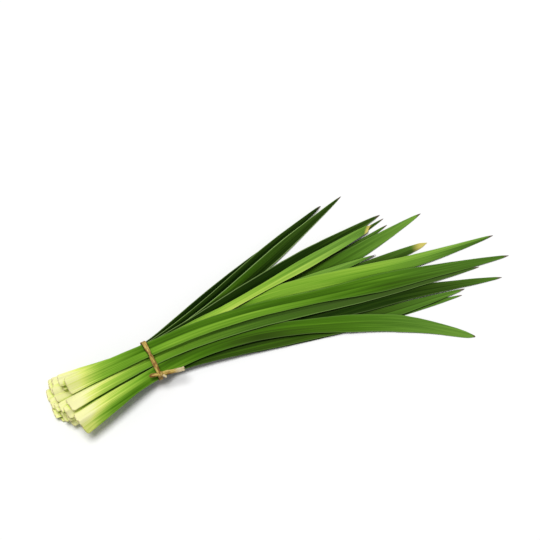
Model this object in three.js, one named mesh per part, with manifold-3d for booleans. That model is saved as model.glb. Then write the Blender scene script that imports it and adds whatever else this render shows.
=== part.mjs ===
// A tied bunch of fresh pandan leaves, lying down as it would on a kitchen table.
//
// Millimetres. +X runs from the cut ends towards the tips and +Z is up. The leaves are laid out
// with x = 0 at the tie and z = 0 at the table; at the end the whole bunch is moved so that its
// origin is the middle of the underside of its bounding box.
//
// Every leaf is one closed thin solid, laid on the ones before it as a springy strip: it bends
// along its length, keeps its fold across, sags under its weight and never touches a neighbour.

import * as THREE from 'three';
import { mergeVertices } from 'three/addons/utils/BufferGeometryUtils.js';
import Module from 'manifold-3d';

// ---------------------------------------------------------------- driving dimensions

const STATION_STEP = 22;          // spacing of a leaf's cross-sections along X
const COLUMNS = [-1, -0.5, 0, 0.5, 1]; // places across a leaf: margin, middle, keel, middle, margin

const MARGIN_THICKNESS = { butt: 1.8, blade: 0.5 };
const KEEL_THICKNESS = { butt: 3.3, tie: 1.7, blade: 0.9 };
const KEEL_THINS_OVER = 120;      // length beyond the tie in which the keel becomes thin
const NARROW_WIDTH = 8;           // below this width the keel is thinner in proportion

const LEAF_GAP = 0.35;            // clearance between one leaf and the next
const SPRINGINESS = 8e6;          // bending stiffness over weight per length, mm^3
const TIE_PULL = 60;              // how many times its own weight the tie presses a leaf down
const BUTT_PULL = 12;             // and how much the thick wet bases weigh it down beyond that

const TIE_WIDTH = 4.2;            // the strip that ties the bunch
const TIE_THICKNESS = 0.8;
const TIE_GAP = 0.35;             // clearance between the strip and the leaves inside it
const TIE_TURN = 9;               // how far round Z the strip is from lying square across, degrees
const TIE_LIFT = 1.4;             // height of the bundle's round underside above the table
const TIE_ROUNDNESS = 22;         // radius of that underside
const TIE_REACH = 48;             // how far along X the roundness dies away
const BESIDE_TIE = 8;             // the leaves are straight for this far each side of the tie

const KNOT_SIZE = { along: 8, across: 6.5, high: 4.6 };
const KNOT_ANGLE = 163;           // where round the bundle it sits, in degrees from +Y towards +Z
const KNOT_FORWARD = 0.5;         // how far the knot sits towards the tips
const LOOSE_THICKNESS = 1;
const LOOSE_ENDS = [              // the strip's ends beyond the knot, from the knot's centre
  { width: 3.4, path: [[1, 0, 0], [9, -2, 0.3], [16, -4.2, 0.6], [22.5, -5.7, 0.5]] },
  { width: 3.4, path: [[-1, 0, 0], [-5, 0.4, 0.8], [-9, 1.5, 0.3]] },
  { width: 2, path: [[1, -0.5, 0], [2.5, -2.8, -0.8], [4, -5, -2]] },
];

const SETTLING = {                // how a leaf is found its place on the pile
  firstSweeps: 600,
  sweeps: 120,
  rounds: 40,
  overshoot: 1.6,                 // over-relaxation
  foldFirmness: 0.35,             // how strongly a cross-section goes back to its own fold
  raise: 0.6,                     // part of a clash that is mended in one round
  leastShare: 0.02,               // corners that carry less of a clash than this are left alone
  close: 0.03,                    // clash that may be left, well inside the clearance
};

// ---------------------------------------------------------------- the leaves, bottom to top
//
// path   from the cut end, through the tie at x = 0, to the tip
// width  at the cut end, at the tie, in the middle of the blade, and where the blade is widest
// fold   angle of each half at those four places: + is a gutter, - is a ridge
// taper  part of the blade's length that narrows to the tip, and how blunt that taper is (small
//        exponents are blunt)

const LEAVES = [
  { path: [[-100, -21], [0, -6], [120, 0], [262, 8]],
    width: [13, 11, 13, 14], fold: [9, 9, 4, 4] },
  { path: [[-104, -17], [0, -2], [120, 18], [274, 25]],
    width: [14, 11, 13, 14], fold: [8, 9, 4, 4] },
  { path: [[-105, 3], [0, 5], [120, 30], [243, 53]],
    width: [13, 11, 13, 14], fold: [10, 9, 4, 4] },
  { path: [[-101, 13], [0, 17], [60, 41], [109, 63], [186, 98]],
    width: [12, 9, 9, 9], fold: [9, 9, 12, 12] },
  { path: [[-97, -25], [0, -10], [144, -18], [311, -28]],
    width: [13, 10, 13, 13], fold: [10, 9, 5, 5] },
  { path: [[-100, 7], [0, 15], [85, 47], [120, 65], [212, 110]],
    width: [12, 9, 10, 10], fold: [8, 9, 12, 12] },
  { path: [[-97, 11], [0, 13], [60, 29], [110, 52], [140, 67], [236, 115]],
    width: [12, 9, 11, 12], fold: [9, 9, 10, 10] },
  { path: [[-92, -31], [0, -12.5], [104, -13.5], [200, -20.7], [316, -22.5]],
    width: [14, 10, 15, 17.5], fold: [9, 9, 5, 5] },
  { path: [[-104, -8], [0, 6], [167, 47], [268, 77]],
    width: [12, 10, 11, 11], fold: [8, 9, 5, 5] },
  { path: [[-101, -15], [0, 2], [164, 38], [269, 69]],
    width: [12, 10, 11.5, 12], fold: [9, 9, 5, 5] },
  { path: [[-94, -28], [0, -8], [150, -4], [250, -8], [356, -23]],
    width: [14, 10, 16.5, 18], fold: [8, 9, 6, 6] },
  { path: [[-96, 6], [0, 12], [113, 41], [266, 82]],
    width: [14, 11, 15, 16], fold: [9, 9, 6, 6] },
  { path: [[-98, -5], [0, 4], [160, 33], [230, 49.5], [306, 70]],
    width: [14, 11, 17, 20], fold: [8, 9, -6, -8] },
  { path: [[-97, -20], [0, 0], [158, 22], [300, 37]],
    width: [13, 10, 14.5, 16], fold: [8, 9, 6, 6], taper: [0.3, 0.45] },
  { path: [[-93, -28], [0, -3], [160, 31], [246, 41]],
    width: [13, 10, 11.5, 12], fold: [8, 9, 6, 6] },
  { path: [[-89, 2], [0, 11], [130, 28], [250, 22.5], [366, 23]],
    width: [15, 11, 15, 17], fold: [8, 9, -4, -12] },
  { path: [[-86, -43], [-42, -27.5], [0, -13.5], [100, -3], [185, -19], [255, -43], [306, -73]],
    width: [23, 13, 15, 19], fold: [-30, -10, -7, -7], taper: [0.22, 0.42] },
  { path: [[-90, 4.5], [0, 10], [120, 35], [254, 72]],
    width: [15, 10, 8.5, 12.5], fold: [9, 9, 12, 12], taper: [0.3, 0.25] },
  { path: [[-89, -23], [0, -0.5], [110, 7], [215, 1.5], [339, -5]],
    width: [17, 12, 12, 12], fold: [8, 9, 6, 6] },
  { path: [[-84.5, -5.5], [0, 8], [115, 15], [185, 11.5], [250, 8], [372, -3]],
    width: [15.5, 15, 12, 19.5], fold: [-8, 8, 14, -7] },
];
const MIDDLE = 0.45;              // of the way from the tie to the tip
const WIDEST = 0.68;
const DEFAULT_TAPER = [0.36, 0.62];
const TIP_WIDTH = 1.2;

const GREENS = [0x2f5a16, 0x3f7320, 0x57892b, 0x6c9c35];
const STRAW = 0xb5914a;
const LEAF_ROUGHNESS = 0.45;
const TIE_ROUGHNESS = 0.7;

// ---------------------------------------------------------------- small helpers

const lerp = (a, b, t) => a + (b - a) * t;
const smooth = (t) => { const c = Math.min(1, Math.max(0, t)); return c * c * (3 - 2 * c); };

/** A natural cubic spline y(x) through points whose x increases. */
function splineThrough(points) {
  const n = points.length;
  const second = new Array(n).fill(0);
  const swept = new Array(n).fill(0);
  for (let i = 1; i < n - 1; i += 1) {
    const [x0, y0] = points[i - 1];
    const [x1, y1] = points[i];
    const [x2, y2] = points[i + 1];
    const share = (x1 - x0) / (x2 - x0);
    const pivot = share * second[i - 1] + 2;
    const bend = (y2 - y1) / (x2 - x1) - (y1 - y0) / (x1 - x0);
    second[i] = (share - 1) / pivot;
    swept[i] = (6 * bend / (x2 - x0) - share * swept[i - 1]) / pivot;
  }
  for (let i = n - 2; i >= 0; i -= 1) second[i] = second[i] * second[i + 1] + swept[i];
  return (x) => {
    let i = 0;
    while (i < n - 2 && x > points[i + 1][0]) i += 1;
    const [x0, y0] = points[i];
    const [x1, y1] = points[i + 1];
    const h = x1 - x0;
    const a = (x1 - x) / h;
    const b = (x - x0) / h;
    const curve = ((a ** 3 - a) * second[i] + (b ** 3 - b) * second[i + 1]) * h * h / 6;
    return a * y0 + b * y1 + curve;
  };
}

// ---------------------------------------------------------------- the table and the pile on it

/** Height of what carries the leaves: the table, rising to a round trough under the tie. */
function tableHeight(x, y) {
  const near = Math.exp(-((x / TIE_REACH) ** 2));
  return near * (TIE_LIFT + y * y / (2 * TIE_ROUNDNESS));
}

/** A grid of heights that remembers the top of everything laid so far. */
class Pile {
  constructor() {
    this.corner = { x: -120, y: -100 };
    this.step = { x: 2.5, y: 0.5 };
    this.count = { x: 210, y: 480 };
    this.empty = -1;
    this.heights = new Float64Array(this.count.x * this.count.y).fill(this.empty);
  }

  column(x) { return Math.round((x - this.corner.x) / this.step.x); }

  placeOf(ix) { return this.corner.x + ix * this.step.x; }

  /** The lowest that a leaf's underside may be. */
  at(ix, y) {
    const iy = Math.round((y - this.corner.y) / this.step.y);
    const laid = this.heights[ix * this.count.y + iy];
    const table = tableHeight(this.placeOf(ix), y);
    return laid === this.empty ? table : Math.max(table, laid + LEAF_GAP);
  }

  /** Adds a section's top at grid column ix, spread a little to each side so that edges stay clear. */
  cover(ix, section) {
    const spread = 2;
    for (const near of [ix - 1, ix, ix + 1]) {
      for (let i = 0; i < section.length - 1; i += 1) {
        const [a, b] = [section[i], section[i + 1]];
        const first = Math.ceil((a.y - this.corner.y) / this.step.y) - spread;
        const last = Math.floor((b.y - this.corner.y) / this.step.y) + spread;
        for (let iy = first; iy <= last; iy += 1) {
          const t = (this.corner.y + iy * this.step.y - a.y) / Math.max(1e-6, b.y - a.y);
          const cell = near * this.count.y + iy;
          const z = lerp(a.z, b.z, Math.min(1, Math.max(0, t)));
          this.heights[cell] = Math.max(this.heights[cell], z);
        }
      }
    }
  }
}

// ---------------------------------------------------------------- one leaf

/** Where a leaf's cross-sections stand: its two ends, both sides of the tie, and a common grid. */
function stationPlaces(from, to) {
  const nearEnd = STATION_STEP / 3;
  const places = [from, -BESIDE_TIE, BESIDE_TIE, to - nearEnd, to];
  for (let k = Math.ceil(from / STATION_STEP); k * STATION_STEP < to - 1.3 * nearEnd; k += 1) {
    const x = k * STATION_STEP;
    if (k !== 0 && x > from + nearEnd) places.push(x);
  }
  return places.sort((a, b) => a - b);
}

/** A value given at the cut end, the tie, the middle and the widest part, found in between. */
function alongLeaf(leaf, values, x) {
  const [from, to] = [leaf.path[0][0], leaf.path.at(-1)[0]];
  const places = [from, 0, MIDDLE * to, WIDEST * to];
  let i = 0;
  while (i < 2 && x > places[i + 1]) i += 1;
  return lerp(values[i], values[i + 1], smooth((x - places[i]) / (places[i + 1] - places[i])));
}

function leafWidth(leaf, x) {
  const to = leaf.path.at(-1)[0];
  const [length, exponent] = leaf.taper ?? DEFAULT_TAPER;
  const narrowed = Math.min(1, (1 - x / to) / length) ** exponent;
  return Math.max(TIP_WIDTH, alongLeaf(leaf, leaf.width, x) * narrowed);
}

function foldSlope(leaf, x) {
  return Math.tan(THREE.MathUtils.degToRad(alongLeaf(leaf, leaf.fold, x)));
}

function thicknessAt(leaf, x, across) {
  const toButt = Math.max(0, x / leaf.path[0][0]);
  const { butt, tie, blade } = KEEL_THICKNESS;
  const keel = x < 0 ? lerp(tie, butt, toButt) : lerp(tie, blade, smooth(x / KEEL_THINS_OVER));
  const margin = lerp(MARGIN_THICKNESS.blade, MARGIN_THICKNESS.butt, toButt);
  const fullness = Math.min(1, leafWidth(leaf, x) / NARROW_WIDTH);
  return lerp(margin, Math.max(margin, keel * fullness), 1 - Math.abs(across));
}

/** The leaf seen from above, with its thickness and the fold it would keep if nothing pressed it. */
function planLeaf(leaf) {
  const middle = splineThrough(leaf.path);
  const [from, to] = [leaf.path[0][0], leaf.path.at(-1)[0]];
  return stationPlaces(from, to).map((x) => {
    const half = leafWidth(leaf, x) / 2;
    const y = COLUMNS.map((across) => middle(x) + across * half);
    const fold = COLUMNS.map((across) => foldSlope(leaf, x) * Math.abs(across) * half);
    const thickness = COLUMNS.map((across) => thicknessAt(leaf, x, across));
    return { x, y, fold, thickness, floor: [], z: [] };
  });
}

/**
 * The cut through a leaf's underside or top at x, as points with y, z and the stations' corners
 * that set each point. It follows the same triangles as the leaf's mesh.
 */
function sectionAt(stations, x, isTop) {
  let k = 0;
  while (k < stations.length - 2 && x > stations[k + 1].x) k += 1;
  const [near, far] = [stations[k], stations[k + 1]];
  const t = (x - near.x) / (far.x - near.x);
  const height = (station, j) => station.z[j] + (isTop ? station.thickness[j] : 0);
  const points = [];
  const add = (jNear, jFar) => points.push({
    y: lerp(near.y[jNear], far.y[jFar], t),
    z: lerp(height(near, jNear), height(far, jFar), t),
    corners: [[k, jNear, 1 - t], [k + 1, jFar, t]],
  });
  COLUMNS.forEach((_, j) => {
    add(j, j);
    if (j < COLUMNS.length - 1) add(j, j + 1);
  });
  return points;
}

/** The pile's grid columns under a leaf, each with the place on the leaf that it stands for. */
function columnsUnder(stations, pile) {
  const [from, to] = [stations[0].x, stations.at(-1).x];
  const first = pile.column(from);
  return Array.from({ length: pile.column(to) - first + 1 }, (_, i) => {
    const ix = first + i;
    return { ix, x: Math.min(to, Math.max(from, pile.placeOf(ix))) };
  });
}

/** Load on a leaf at x, over the weight of its blade. */
function pullAt(x) {
  if (Math.abs(x) < STATION_STEP) return TIE_PULL;
  return x < 0 ? BUTT_PULL : 1;
}

/** Lets every column of the leaf bend like a spring strip under its weight, above its floors. */
function relax(stations, sweeps) {
  const n = stations.length;
  const gap = stations.slice(1).map((station, k) => station.x - stations[k].x);
  const bendAt = (k, j) => (stations[k + 1].z[j] - stations[k].z[j]) / gap[k]
    - (stations[k].z[j] - stations[k - 1].z[j]) / gap[k - 1];
  for (let sweep = 0; sweep < sweeps; sweep += 1) {
    for (let k = 0; k < n; k += 1) {
      const station = stations[k];
      const reach = ((gap[k - 1] ?? 0) + (gap[k] ?? 0)) / 2;
      const load = reach * pullAt(station.x) / SPRINGINESS;
      for (let j = 0; j < COLUMNS.length; j += 1) {
        let slope = load;
        let stiffness = 0;
        for (let m = Math.max(1, k - 1); m <= Math.min(n - 2, k + 1); m += 1) {
          const share = m < k ? 1 / gap[k - 1] : m > k ? 1 / gap[k] : -1 / gap[k] - 1 / gap[k - 1];
          const length = (gap[m - 1] + gap[m]) / 2;
          slope += share * bendAt(m, j) / length;
          stiffness += share * share / length;
        }
        station.z[j] = Math.max(station.floor[j], station.z[j] - SETTLING.overshoot * slope / stiffness);
      }
    }
    for (const station of stations) holdFold(station);
  }
}

/** Draws a cross-section back towards its own fold, however it is tilted. */
function holdFold(station) {
  const count = COLUMNS.length;
  const unfolded = station.z.map((z, j) => z - station.fold[j]);
  const meanZ = unfolded.reduce((sum, z) => sum + z, 0) / count;
  const spread = COLUMNS.reduce((sum, c) => sum + c * c, 0);
  const tilt = COLUMNS.reduce((sum, c, j) => sum + c * unfolded[j], 0) / spread;
  COLUMNS.forEach((c, j) => {
    const wanted = meanZ + tilt * c + station.fold[j];
    station.z[j] = Math.max(station.floor[j], lerp(station.z[j], wanted, SETTLING.foldFirmness));
  });
}

/** Raises the floors under a leaf wherever the pile still pokes through it. Says by how much. */
function raiseFloors(stations, pile) {
  let worst = 0;
  for (const { ix, x } of columnsUnder(stations, pile)) {
    const section = sectionAt(stations, x, false);
    for (let i = 0; i < section.length - 1; i += 1) {
      const [a, b] = [section[i], section[i + 1]];
      const steps = Math.max(1, Math.ceil((b.y - a.y) / pile.step.y));
      for (let s = 0; s <= steps; s += 1) {
        const t = s / steps;
        const lack = pile.at(ix, lerp(a.y, b.y, t)) - lerp(a.z, b.z, t);
        if (lack <= 0) continue;
        worst = Math.max(worst, lack);
        const corners = [...a.corners.map(([k, j, w]) => [k, j, w * (1 - t)]),
          ...b.corners.map(([k, j, w]) => [k, j, w * t])];
        const total = corners.reduce((sum, [, , w]) => sum + w * w, 0);
        for (const [k, j, w] of corners) {
          const raised = stations[k].z[j] + SETTLING.raise * lack * w / total;
          if (w > SETTLING.leastShare) {
            stations[k].floor[j] = Math.max(stations[k].floor[j], raised);
          }
        }
      }
    }
  }
  return worst;
}

/** Lays one leaf on the pile and adds it to the pile. */
function layLeaf(leaf, pile) {
  const stations = planLeaf(leaf);
  for (const station of stations) {
    const ix = pile.column(station.x);
    station.floor = station.y.map((y) => pile.at(ix, y));
    const highest = Math.max(...station.floor);
    station.z = station.floor.map((_, j) => highest + station.fold[j] - Math.min(...station.fold));
  }
  relax(stations, SETTLING.firstSweeps);
  for (let round = 0; round < SETTLING.rounds; round += 1) {
    if (raiseFloors(stations, pile) < SETTLING.close) break;
    relax(stations, SETTLING.sweeps);
  }
  for (const { ix, x } of columnsUnder(stations, pile)) {
    pile.cover(ix, sectionAt(stations, x, true));
  }
  return stations;
}

/** The corners of a leaf's cross-sections, on its underside and on its top. */
function leafRings(stations) {
  return stations.map(({ x, y, z, thickness }) => ({
    lower: COLUMNS.map((_, j) => new THREE.Vector3(x, y[j], z[j])),
    upper: COLUMNS.map((_, j) => new THREE.Vector3(x, y[j], z[j] + thickness[j])),
  }));
}

/** Trims the cut end square to the leaf's own direction, shortening it along one margin. */
function trimSquare([end, next]) {
  const keel = (COLUMNS.length - 1) / 2;
  const reach = next.lower[keel].x - end.lower[keel].x;
  const slope = (next.lower[keel].y - end.lower[keel].y) / reach;
  const longest = slope > 0 ? end.lower.at(-1).y : end.lower[0].y;
  COLUMNS.forEach((_, j) => {
    const share = slope * (longest - end.lower[j].y) / reach;
    end.lower[j].lerp(next.lower[j], share);
    end.upper[j].lerp(next.upper[j], share);
  });
}

/** The closed mesh of one leaf: an upper and a lower skin, two thin margins and two end faces. */
function leafGeometry(rings) {
  const columns = COLUMNS.length;
  const positions = rings.flatMap(({ lower, upper }) => [...lower, ...upper])
    .flatMap((corner) => corner.toArray());
  const lower = (k, j) => k * 2 * columns + j;
  const upper = (k, j) => lower(k, j) + columns;
  const index = [];
  const quad = (a, b, c, d) => index.push(a, b, c, a, c, d);
  for (let k = 0; k < rings.length - 1; k += 1) {
    for (let j = 0; j < columns - 1; j += 1) {
      quad(upper(k, j), upper(k + 1, j), upper(k + 1, j + 1), upper(k, j + 1));
      index.push(lower(k, j), lower(k + 1, j + 1), lower(k + 1, j));
      index.push(lower(k, j), lower(k, j + 1), lower(k + 1, j + 1));
    }
    quad(lower(k, 0), lower(k + 1, 0), upper(k + 1, 0), upper(k, 0));
    const edge = columns - 1;
    quad(lower(k, edge), upper(k, edge), upper(k + 1, edge), lower(k + 1, edge));
  }
  const end = rings.length - 1;
  for (let j = 0; j < columns - 1; j += 1) {
    quad(lower(0, j), upper(0, j), upper(0, j + 1), lower(0, j + 1));
    quad(lower(end, j), lower(end, j + 1), upper(end, j + 1), upper(end, j));
  }
  const geometry = new THREE.BufferGeometry();
  geometry.setAttribute('position', new THREE.Float32BufferAttribute(positions, 3));
  geometry.setIndex(index);
  geometry.computeVertexNormals();
  return geometry;
}

// ---------------------------------------------------------------- the tie

const wasm = await Module();
wasm.setup();

/** A closed three.js geometry as a solid that can be joined. */
function toSolid(geometry) {
  const bare = geometry.index ? geometry.clone() : geometry;
  bare.deleteAttribute('normal');
  bare.deleteAttribute('uv');
  const welded = mergeVertices(bare, 1e-4);
  return new wasm.Manifold(new wasm.Mesh({
    numProp: 3,
    vertProperties: new Float32Array(welded.attributes.position.array),
    triVerts: new Uint32Array(welded.index.array),
  }));
}

function toGeometry(solid) {
  const { vertProperties, triVerts } = solid.getMesh();
  const geometry = new THREE.BufferGeometry();
  geometry.setAttribute('position', new THREE.BufferAttribute(vertProperties, 3));
  geometry.setIndex(new THREE.BufferAttribute(triVerts, 1));
  geometry.computeVertexNormals();
  return geometry;
}

/** The straight sides of a taut outline round points in the YZ plane, as normals and reaches. */
function tautSides(points) {
  const count = 40;
  return Array.from({ length: count }, (_, i) => {
    const angle = (i / count) * 2 * Math.PI;
    const normal = new THREE.Vector2(Math.cos(angle), Math.sin(angle));
    return { normal, reach: Math.max(...points.map((point) => point.dot(normal))) };
  });
}

/** The corners of that outline, a given distance outside it. */
function outlineCorners(sides, offset) {
  return sides.map(({ normal, reach }, i) => {
    const next = sides[(i + 1) % sides.length];
    const [near, far] = [reach + offset, next.reach + offset];
    const cross = normal.cross(next.normal);
    return new THREE.Vector2(
      (near * next.normal.y - far * normal.y) / cross,
      (normal.x * far - next.normal.x * near) / cross,
    );
  });
}

/** The side of the outline that is met on the way out from its middle, and where. */
function meetOutline(sides, angle) {
  const middle = outlineCorners(sides, 0)
    .reduce((sum, corner) => sum.add(corner), new THREE.Vector2()).divideScalar(sides.length);
  const way = new THREE.Vector2(Math.cos(angle), Math.sin(angle));
  const distance = ({ normal, reach }) => (reach - middle.dot(normal)) / way.dot(normal);
  const met = sides.filter(({ normal }) => way.dot(normal) > 0)
    .reduce((best, side) => (distance(side) < distance(best) ? side : best));
  return { normal: met.normal, point: middle.addScaledVector(way, distance(met)) };
}

/** Turns a geometry drawn in XY and extruded along Z so that it is drawn in YZ and runs along X. */
function standAcross(geometry) {
  const toWorld = new THREE.Matrix4().makeBasis(
    new THREE.Vector3(0, 1, 0), new THREE.Vector3(0, 0, 1), new THREE.Vector3(1, 0, 0));
  return geometry.applyMatrix4(toWorld);
}

/** The skins of all leaves where the strip passes, seen along the strip's own axis. */
function bundleInTie(laid, turn) {
  const up = new THREE.Vector3(0, 0, 1);
  const step = 0.5;
  const points = [];
  for (let x = -BESIDE_TIE + step; x < BESIDE_TIE; x += step) {
    for (const stations of laid) {
      for (const { y, z } of [...sectionAt(stations, x, false), ...sectionAt(stations, x, true)]) {
        const point = new THREE.Vector3(x, y, z).applyAxisAngle(up, -turn);
        if (Math.abs(point.x) < TIE_WIDTH / 2 + step) points.push(new THREE.Vector2(point.y, point.z));
      }
    }
  }
  return points;
}

function tieRing(sides) {
  const shape = new THREE.Shape(outlineCorners(sides, TIE_GAP + TIE_THICKNESS));
  shape.holes.push(new THREE.Path(outlineCorners(sides, TIE_GAP)));
  const ring = new THREE.ExtrudeGeometry(shape, { depth: TIE_WIDTH, bevelEnabled: false });
  return standAcross(ring.translate(0, 0, -TIE_WIDTH / 2));
}

/** The knot's lump, flattened against the bundle. */
function knotLump(centre, normal) {
  const lump = new THREE.SphereGeometry(0.5, 16, 10);
  lump.scale(KNOT_SIZE.along, KNOT_SIZE.across, KNOT_SIZE.high);
  lump.rotateX(normal.angle() - Math.PI / 2);
  return lump.translate(centre.x, centre.y, centre.z);
}

/** A flat loose end of the strip. */
function looseEnd(centre, { width, path }) {
  const points = path.map((offset) => new THREE.Vector3(...offset).add(centre));
  const [halfWidth, halfThickness] = [width / 2, LOOSE_THICKNESS / 2];
  const section = new THREE.Shape([
    new THREE.Vector2(-halfThickness, -halfWidth), new THREE.Vector2(halfThickness, -halfWidth),
    new THREE.Vector2(halfThickness, halfWidth), new THREE.Vector2(-halfThickness, halfWidth),
  ]);
  const extrudePath = new THREE.CatmullRomCurve3(points);
  return new THREE.ExtrudeGeometry(section, { steps: 8, extrudePath });
}

function tieGeometry(laid) {
  const turn = THREE.MathUtils.degToRad(TIE_TURN);
  const sides = tautSides(bundleInTie(laid, turn));
  const { point, normal } = meetOutline(sides, THREE.MathUtils.degToRad(KNOT_ANGLE));
  point.addScaledVector(normal, TIE_GAP + KNOT_SIZE.high / 2);
  const centre = new THREE.Vector3(KNOT_FORWARD, point.x, point.y);
  const looseEnds = LOOSE_ENDS.map((end) => looseEnd(centre, end));
  const parts = [tieRing(sides), knotLump(centre, normal), ...looseEnds];
  const whole = parts.map(toSolid).reduce((joined, part) => joined.add(part));
  return toGeometry(whole).rotateZ(turn);
}

// ---------------------------------------------------------------- the bunch

const pile = new Pile();
const laid = LEAVES.map((leaf) => layLeaf(leaf, pile));

const bunch = new THREE.Group();
laid.forEach((stations, i) => {
  const material = new THREE.MeshStandardMaterial({
    color: GREENS[i % GREENS.length], roughness: LEAF_ROUGHNESS, metalness: 0,
  });
  const rings = leafRings(stations);
  trimSquare(rings);
  const leaf = new THREE.Mesh(leafGeometry(rings), material);
  leaf.name = `leaf_${String(i + 1).padStart(2, '0')}`;
  bunch.add(leaf);
});

const straw = new THREE.MeshStandardMaterial({
  color: STRAW, roughness: TIE_ROUGHNESS, metalness: 0,
});
const tie = new THREE.Mesh(tieGeometry(laid), straw);
tie.name = 'tie';
bunch.add(tie);

const box = new THREE.Box3().setFromObject(bunch);
bunch.position.set(-(box.min.x + box.max.x) / 2, -(box.min.y + box.max.y) / 2, -box.min.z);

export default bunch;
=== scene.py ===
"""A tied bunch of fresh pandan leaves: the looks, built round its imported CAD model.

The CAD model has every leaf as a coarse thin solid and the tie as a plain ring with a lump for
its knot. This script reads those solids from the frame and puts a finer piece in the place of
each. A leaf's cross-sections become a smooth folded blade, and the tie becomes a dried strip
wound twice round the bunch and knotted. Everything is in metres, in the CAD model's own frame:
+X runs from the cut bases to the tips, +Z is up, and the table is at z = 0.
"""

import math

import bpy
import numpy as np
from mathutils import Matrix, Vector


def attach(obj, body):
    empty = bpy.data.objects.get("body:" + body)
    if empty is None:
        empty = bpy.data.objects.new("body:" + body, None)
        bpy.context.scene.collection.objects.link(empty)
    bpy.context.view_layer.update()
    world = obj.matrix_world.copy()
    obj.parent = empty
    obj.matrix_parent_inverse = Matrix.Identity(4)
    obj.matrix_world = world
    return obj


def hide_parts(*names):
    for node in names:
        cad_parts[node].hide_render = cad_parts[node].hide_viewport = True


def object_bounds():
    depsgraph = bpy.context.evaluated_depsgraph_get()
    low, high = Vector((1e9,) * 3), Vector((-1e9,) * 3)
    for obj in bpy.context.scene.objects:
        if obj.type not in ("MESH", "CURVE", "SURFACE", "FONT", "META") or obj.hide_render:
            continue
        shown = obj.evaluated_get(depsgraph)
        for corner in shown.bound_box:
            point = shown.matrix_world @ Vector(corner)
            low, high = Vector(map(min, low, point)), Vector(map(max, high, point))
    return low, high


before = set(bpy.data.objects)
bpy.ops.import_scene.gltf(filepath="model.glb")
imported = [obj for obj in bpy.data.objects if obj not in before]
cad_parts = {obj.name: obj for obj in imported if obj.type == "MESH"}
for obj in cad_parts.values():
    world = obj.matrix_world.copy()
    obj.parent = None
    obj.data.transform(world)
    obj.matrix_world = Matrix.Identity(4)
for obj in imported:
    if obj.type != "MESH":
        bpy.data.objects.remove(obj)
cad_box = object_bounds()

MM = 0.001
TIE_PLACE = np.array([-133.5, -21.0, 0.0]) * MM      # where the CAD model's tie stands


# ------------------------------------------------------------------ camera, light and ground

CAMERA_AZIMUTH = -19.0            # degrees, with 0 in front of the object
CAMERA_ELEVATION = 65.0
CAMERA_DISTANCE = 1.275
CAMERA_AIM = Vector((0.0065, 0.039, 0.0))
CAMERA_LENS = 85.0                # millimetres, as the sensor's width is
CAMERA_SENSOR = 36.0

KEY_AZIMUTH = -146.0              # the key lamp stands behind the bunch, on the cut ends' side
KEY_ELEVATION = 79.0
KEY_SOFTNESS = 30.0               # how wide it looks from the bunch, in degrees
KEY_SHARE = 0.74                  # of the light on the table; the rest comes from all round
TABLE_WHITE = 1.03                # what the camera sees of the table where no shadow falls
TABLE_BOUNCE = 0.8                # what the leaves see of it
TABLE_SIZE = 12.0
TABLE_DROP = 0.1 * MM             # just clear of the lowest leaves


def direction(azimuth, elevation):
    """The direction of a place seen from the middle, with azimuth 0 in front of the object."""
    a, e = math.radians(azimuth), math.radians(elevation)
    return Vector((math.sin(a) * math.cos(e), -math.cos(a) * math.cos(e), math.sin(e)))


def link(ob):
    bpy.context.scene.collection.objects.link(ob)
    return ob


def add_camera():
    camera = link(bpy.data.objects.new("camera", bpy.data.cameras.new("camera")))
    back = direction(CAMERA_AZIMUTH, CAMERA_ELEVATION)
    camera.data.lens = CAMERA_LENS
    camera.data.sensor_width = CAMERA_SENSOR
    camera.location = CAMERA_AIM + back * CAMERA_DISTANCE
    camera.rotation_euler = (-back).to_track_quat("-Z", "Y").to_euler()
    bpy.context.scene.camera = camera


def add_key_lamp():
    """A soft, even lamp whose power lights the table to KEY_SHARE of plain white."""
    towards = direction(KEY_AZIMUTH, KEY_ELEVATION)
    lamp = bpy.data.lights.new("key", "SUN")
    lamp.angle = math.radians(KEY_SOFTNESS)
    lamp.energy = KEY_SHARE * math.pi / towards.z
    ob = link(bpy.data.objects.new("key", lamp))
    ob.location = towards
    ob.rotation_euler = (-towards).to_track_quat("-Z", "Y").to_euler()


def seen_or_lit(tree, lit, seen):
    """One value where light is gathered, another for what is seen, straight on or reflected."""
    path = tree.nodes.new("ShaderNodeLightPath")
    value = tree.nodes.new("ShaderNodeMix")
    value.inputs["A"].default_value = lit
    value.inputs["B"].default_value = seen
    is_seen = path.outputs["Is Camera Ray"]
    for ray in ("Is Glossy Ray", "Is Transmission Ray"):
        either = tree.nodes.new("ShaderNodeMath")
        either.operation = "MAXIMUM"
        tree.links.new(is_seen, either.inputs[0])
        tree.links.new(path.outputs[ray], either.inputs[1])
        is_seen = either.outputs[0]
    tree.links.new(is_seen, value.inputs["Factor"])
    return value.outputs["Result"]


def add_world():
    """Even light from all round, seen as white by the camera and in reflections."""
    world = bpy.data.worlds.new("studio")
    world.use_nodes = True
    bpy.context.scene.world = world
    tree = world.node_tree
    background = tree.nodes["Background"]
    tree.links.new(seen_or_lit(tree, 1.0 - KEY_SHARE, 1.0), background.inputs["Strength"])
    background.inputs["Color"].default_value = (1.0, 1.0, 1.0, 1.0)


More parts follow.
